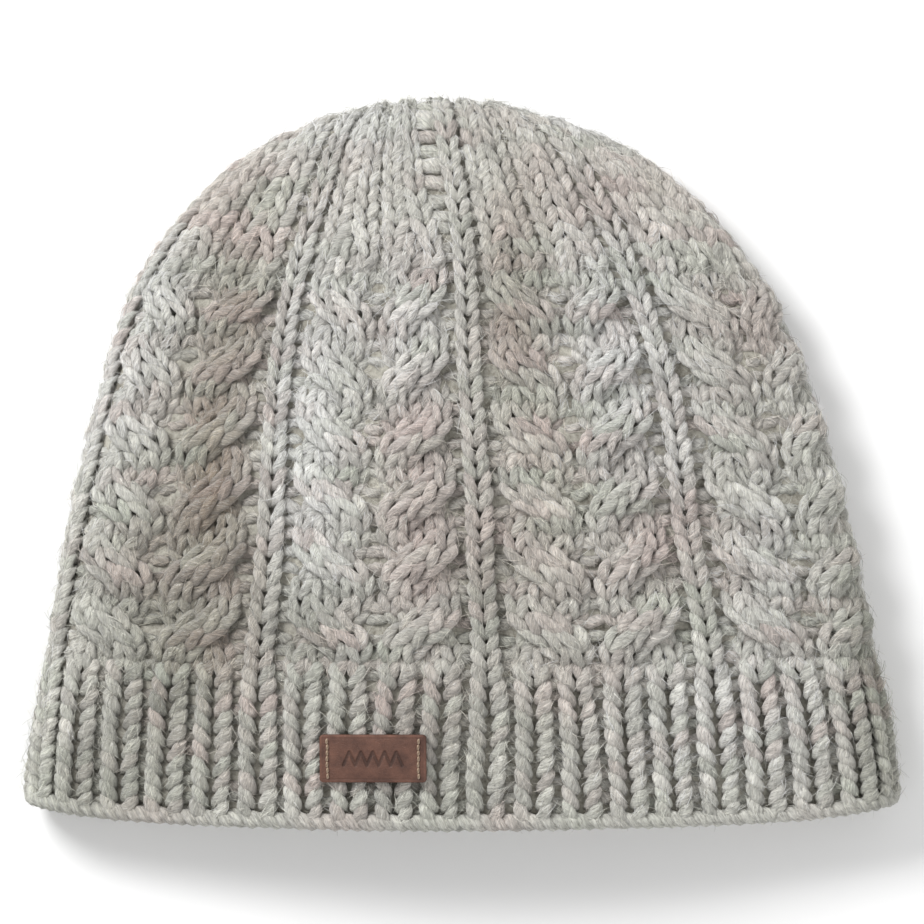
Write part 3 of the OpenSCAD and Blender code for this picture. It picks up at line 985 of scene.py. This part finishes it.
def crown_gather():
    """The last stitches' yarn, drawn tight in short loops over the top of the fold."""
    loops, tuck, arch = 11, 4.2 * MM, 0.7 * MM
    t = np.linspace(0, 1, len(BAR))
    centre_line = fold_line(np.array(LAST_V))
    pieces = []
    for i in range(loops):
        phi = math.radians(100 - 200 * i / (loops - 1))
        x = (1.8 + 1.2 * rng.random()) * MM * (2 * t - 1)
        r = CROWN_FOLD_R - tuck + arch * (1 - (2 * t - 1) ** 2)
        wave = phi + 0.12 * np.sin(2 * math.pi * t + i)
        y = centre_line[1] + r * np.cos(wave)
        z = CROWN_FOLD_R + r * np.sin(wave)
        pieces.append(np.stack([x - LEAN, y - HAT_H / 2, z], -1))
    centre = np.array(pieces)
    out = centre - np.array([-LEAN, centre_line[1] - HAT_H / 2, CROWN_FOLD_R])
    out[..., 0] = 0
    placed_yarn("crown_gather_yarn", centre, unit(out), 1.25 * MM, wool, ["crown_gather"])


def placed_yarn(name, centre, out, thick, material, nodes, sides=10):
    """Lengths of yarn or thread along given points, thinner at both ends."""
    taper = 0.35
    count, rings = centre.shape[:2]
    _, across, out = frames(centre, out)
    ends = np.linspace(-1, 1, rings)
    around = ring_angles(sides)
    r = thick * (1 - taper * ends**4)[None, :, None] * np.ones((count, 1, sides))
    obj = tubes(name, tube_points(centre, across, out, r, around))
    dressed(obj, centre, around, np.full(count, ROWS))
    finished(obj, material, nodes)


def under_label(points):
    """Whether points lie beneath the leather label."""
    margin, reach = 1 * MM, 4 * MM
    away = points - SEAT
    covered = (np.abs(away @ ACROSS) < LABEL_W / 2 + margin) & (np.abs(away @ UP) < LABEL_H / 2 + margin)
    return covered & (np.abs(away @ OUT) < reach)


def fuzz(pieces, per_piece):
    """Loose fibres on the yarn, as thin prisms that droop by the square of their length over bend."""
    rings, sides, bend, least_z = 4, 3, 32 * MM, 0.02 * MM
    shortest, longest, thinnest, thickest = 2.0, 5.5, 0.045, 0.085
    t = np.linspace(0, 1, rings)
    corners = 2 * math.pi * np.arange(sides) / sides
    sizes = np.array([laid[0].shape[0] for laid in LAID], float)
    for piece in range(pieces):
        points, tints = [], []
        for laid, part in zip(LAID, sizes / sizes.sum()):
            centre, along, across, out, thick, colour = laid
            n = int(round(per_piece * part))
            which = rng.integers(0, centre.shape[0], n)
            ring = rng.integers(2, centre.shape[1] - 2, n)
            clear = ~under_label(centre[which, ring])
            which, ring = which[clear], ring[clear]
            n = len(which)
            angle = np.radians(rng.uniform(20, 160, n))[:, None]
            away = across[which, ring] * np.cos(angle) + out[which, ring] * np.sin(angle)
            start = centre[which, ring] + away * thick[which, ring][:, None] * 0.95
            swing = rng.normal(0, 0.35, n)[:, None]
            hand = rng.choice([-1.0, 1.0], n)[:, None]
            forward = unit(along[which, ring] * hand + across[which, ring] * swing)
            sideways = np.cross(forward, away)
            long = rng.uniform(shortest, longest, n)[:, None, None] * MM
            rise = np.abs(rng.normal(0.08, 0.2, n))[:, None, None] * MM
            curl = rng.normal(0, 0.9, n)[:, None, None] * MM
            s = t[None, :, None]
            droop = (long * s) ** 2 / bend
            arch = 0.03 * MM + rise * np.sin(math.pi * s)
            lift = away[:, None] * arch - out[which, ring][:, None] * droop
            line = start[:, None] + forward[:, None] * long * s + lift + sideways[:, None] * curl * s**1.6
            r = (rng.uniform(thinnest, thickest, n)[:, None] * MM * (1 - 0.6 * t))[:, :, None]
            prism = tube_points(line, sideways[:, None], away[:, None], r, corners)
            prism[..., 2] = np.maximum(prism[..., 2], least_z)
            points.append(prism)
            shade = rng.choice([0.45, 0.9, 1.35], n, p=[0.25, 0.25, 0.5])[:, None]
            tints.append(np.repeat(np.clip(colour[which] * shade, 0, 0.92), rings * sides, 0))
        obj = tubes(f"wool_fuzz_{piece + 1}", np.concatenate(points))
        tinted(obj, np.concatenate(tints))
        finished(obj, fibre)


# ---- Lining ----


def fleece_band():
    """Fleece strip inside the brim; its two ends meet at the seam."""
    rows, cols, seam_gap = 22, 260, 0.0008
    v = np.linspace(LINING_FROM, LINING_TO, rows)[:, None]
    q = SEAM_Q + np.linspace(seam_gap, 1 - seam_gap, cols)[None]
    pile = 0.16 * MM * rng.normal(0, 1, (rows, cols))
    outer = hat_point(q, v, LINING_OUT)
    inner = hat_point(q, v, LINING_IN - 0.2 * MM + pile)
    obj = finished(slab("fleece_band", outer, inner, False), fleece, ["fleece_lining"])


def thread_run(name, ends, node):
    """Short stitches of thread between pairs of (q, v) places on the lining's inside face."""
    thread_r = 0.4 * MM
    t = np.linspace(0, 1, 7)
    first, last = (np.array(e) for e in zip(*ends))
    place = first[:, None] + (last - first)[:, None] * t[None, :, None]
    depth = LINING_IN + 0.1 * MM + 0.35 * MM * np.sin(math.pi * t)
    centre = hat_point(place[..., 0], place[..., 1], depth)
    inward = unit(hat_point(place[..., 0], place[..., 1], depth + 0.5 * MM) - centre)
    placed_yarn(name, centre, inward, thread_r, thread, [node], 8)


def lining_thread():
    """Slanted stitches along the lining's two edges, and crossed ones that close its ends."""
    count, reach, from_edge = 60, 0.006, 0.012
    for name, v in (("upper", LINING_TO - from_edge), ("lower", LINING_FROM + from_edge)):
        starts = [(i + 0.5) / count for i in range(count)]
        ends = [((q, v - reach), (q + reach, v + reach)) for q in starts]
        thread_run(f"lining_thread_{name}", ends, f"lining_stitches_{name}")
    steps, half = 12, 0.003
    low, high = LINING_FROM + 0.02, LINING_TO - 0.02
    seam = [((SEAM_Q - half, low + (high - low) * i / steps),
             (SEAM_Q + half, low + (high - low) * (i + 0.7) / steps)) for i in range(steps)]
    thread_run("lining_seam_thread", seam, "lining_seam")


def care_tape():
    """Blank loop of satin tape, folded double and lying on the lining."""
    low, high = (np.array(corner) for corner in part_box("care_label"))
    middle, size = (low + high) / 2, high - low
    layer = size[2] / 2 - 0.03 * MM
    t = np.linspace(0, 1, 33)
    bend = np.linspace(-math.pi / 2, math.pi / 2, 9)
    half = size[1] / 2
    clear = 0.02 * MM
    path = [(half - 2 * half * x, -layer / 2 - clear) for x in t[:16] * 2]
    path += [(-half - layer / 2 * math.cos(b), layer / 2 * math.sin(b)) for b in bend]
    path += [(-half + 2 * half * x, layer / 2 + clear) for x in t[:16] * 2 + 1 / 16]
    path = np.array(path)
    run = np.gradient(path, axis=0)
    normal = unit(np.stack([-run[:, 1], run[:, 0]], -1))
    across = np.linspace(-size[0] / 2, size[0] / 2, 13)
    half_thick = 0.09
    skins = []
    for side in (-1, 1):
        line = path + normal * side * half_thick * MM
        x, y, z = middle[0] + across, middle[1] + line[:, :1], middle[2] + line[:, 1:]
        skins.append(np.stack(np.broadcast_arrays(x, y, z), -1))
    obj = finished(slab("care_tape", skins[1], skins[0], False), tape, ["care_label"])


# ---- Leather label ----

LABEL_W = 29 * MM
LABEL_H = 13 * MM
LABEL_T = 1.4 * MM
LABEL_X = -24 * MM
LABEL_Y = 20 * MM


def label_axes():
    """The label's seat on the brim, and its directions across, up and out."""
    v = LABEL_Y / ((1 + CROWDING) * MIDDLE_H)
    s = LABEL_X / fold_line(np.array(v))[0]
    q, q_beside = ((x + 1) / 2 * layer_len(np.array(v)) / girth(v) for x in (s, s + 0.05))
    seat = hat_point(q, v, 0)
    side = hat_point(q_beside, v, 0) - seat
    up = hat_point(q, v + 0.02, 0) - seat
    side[1] = 0
    side /= np.linalg.norm(side)
    up -= side * up.dot(side)
    up /= np.linalg.norm(up)
    return seat, side, up, np.cross(side, up)


SEAT, ACROSS, UP, OUT = label_axes()


def on_label(x, y, h):
    """Point on the label: x across it, y up it and h out of it."""
    x, y, h = np.broadcast_arrays(x, y, h)
    return SEAT + x[..., None] * ACROSS + y[..., None] * UP + h[..., None] * OUT


def zigzag_distance(x, y):
    """Distance from a plain zigzag line across the middle of the label."""
    peaks, pitch, high = 5, 3.2 * MM, 3.6 * MM
    half = peaks * pitch / 2
    nearest = np.full(x.shape, 1.0)
    ends = [(-half + i * pitch / 2, high / 2 * (1 if i % 2 else -1)) for i in range(2 * peaks + 1)]
    for a, b in zip(ends, ends[1:]):
        d = np.subtract(b, a)
        t = np.clip(((x - a[0]) * d[0] + (y - a[1]) * d[1]) / d.dot(d), 0, 1)
        nearest = np.minimum(nearest, np.hypot(x - a[0] - t * d[0], y - a[1] - t * d[1]))
    return nearest


def leather_label():
    """Pressed leather patch with rounded corners and a plain zigzag in place of lettering."""
    cols, rows = 200, 92
    corner, rim = 1.0 * MM, 0.35 * MM
    u, w = np.meshgrid(np.linspace(-1, 1, cols), np.linspace(-1, 1, rows))
    hw, hh = LABEL_W / 2, LABEL_H / 2
    over = np.maximum(0, (np.abs(w) * hh - (hh - corner)) / corner)
    reach = hw - corner * (1 - np.sqrt(np.maximum(0, 1 - over**2)))
    x, y = u * reach, w * hh
    inset = np.minimum(reach - np.abs(x), hh - np.abs(y))
    rounded = rim * (1 - np.sqrt(np.maximum(0, 1 - (1 - np.clip(inset / rim, 0, 1)) ** 2)))
    line = np.clip(1 - zigzag_distance(x, y) / (0.55 * MM), 0, 1)
    groove = np.minimum(1, 2 * line)
    frame_line = np.clip(1 - np.abs(inset - 0.95 * MM) / (0.25 * MM), 0, 1)
    cushion = 0.1 * MM * np.sin(np.clip(inset / (4 * MM), 0, 1) * math.pi / 2)
    wrinkle = 0.03 * MM * rng.normal(0, 1, x.shape)
    surface = LABEL_T - rounded - 0.3 * MM * groove - 0.06 * MM * frame_line + cushion + wrinkle
    surface[inset <= 1e-9] = LABEL_T - rim
    top = on_label(x, y, surface)
    bottom = on_label(x, y, 0.02 * MM)
    obj = slab("leather_patch", top, bottom, False)
    shade = 1 - 0.42 * groove - 0.12 * frame_line + 0.18 * (inset < 0.5 * MM)
    tint = np.ones((2, rows, cols, 4))
    tint[0, ..., :3] = shade[..., None]
    tint[1, ..., :3] = 0.8
    attribute(obj, "tint", "FLOAT_COLOR", tint)
    finished(obj, leather, ["leather_label"])


def label_thread(side, node):
    """Row of stitches near one short end, each sunk into the leather at both ends."""
    count, inset, thread_r = 7, 2.1 * MM, 0.36 * MM
    pitch = (LABEL_H - 2 * MM) / count
    t = np.linspace(-1, 1, 9)
    lines = []
    for i in range(count):
        middle = (i - (count - 1) / 2) * pitch
        x = side * (LABEL_W / 2 - inset) + rng.normal(0, 0.05) * MM
        sunk = LABEL_T + 0.35 * MM - 0.55 * MM * t**4
        lines.append(on_label(x + 0.08 * MM * t, middle + 0.38 * pitch * t, sunk))
    centre = np.array(lines)
    out = np.broadcast_to(OUT, centre.shape).copy()
    placed_yarn(node.replace("stitches", "thread"), centre, out, thread_r, thread, [node])


# ---- Making everything ----

knit()
ground()
cast_on_edge()
crown_gather()
fuzz(pieces=8, per_piece=9400)
fleece_band()
lining_thread()
care_tape()
leather_label()
label_thread(-1, "label_stitches_left")
label_thread(1, "label_stitches_right")

# ---- Stage, lights and camera ----


def floor():
    """Plain pale floor."""
    mesh = bpy.data.meshes.new("floor")
    half = 2.0
    corners = [(-half, -half, 0), (half, -half, 0), (half, half, 0), (-half, half, 0)]
    mesh.from_pydata(corners, [], [(0, 1, 2, 3)])
    obj = placed("floor", mesh)
    material, _, _ = new_material("pale_floor", Base_Color=(0.96, 0.96, 0.96, 1), Roughness=0.9)
    obj.data.materials.append(material)


def area_light(name, place, size, power):
    """Soft light aimed at the hat."""
    light = bpy.data.lights.new(name, "AREA")
    light.size = size
    light.energy = power
    obj = placed(name, light)
    obj.location = place
    obj.rotation_euler = (-Vector(place)).to_track_quat("-Z", "Y").to_euler()


def camera():
    """Straight down, with the hat as large in the frame as it is from above."""
    view_w, sensor, high, hat_top = 0.2517, 36.0, 2.4, 0.02
    data = bpy.data.cameras.new("camera")
    data.sensor_width = sensor
    data.lens = sensor * (high - hat_top) / view_w
    obj = placed("camera", data)
    obj.location = (0, 0, high)
    bpy.context.scene.camera = obj


floor()
area_light("key", (-0.66, 0.66, 0.85), 0.5, 14.5)
area_light("fill", (0.9, -0.5, 0.9), 1.0, 4)
world = bpy.data.worlds.new("studio")
world.use_nodes = True
backdrop = world.node_tree.nodes["Background"].inputs
backdrop["Color"].default_value = (1, 1, 1, 1)
backdrop["Strength"].default_value = 0.57
bpy.context.scene.world = world
bpy.context.scene.view_settings.view_transform = "Standard"
camera()
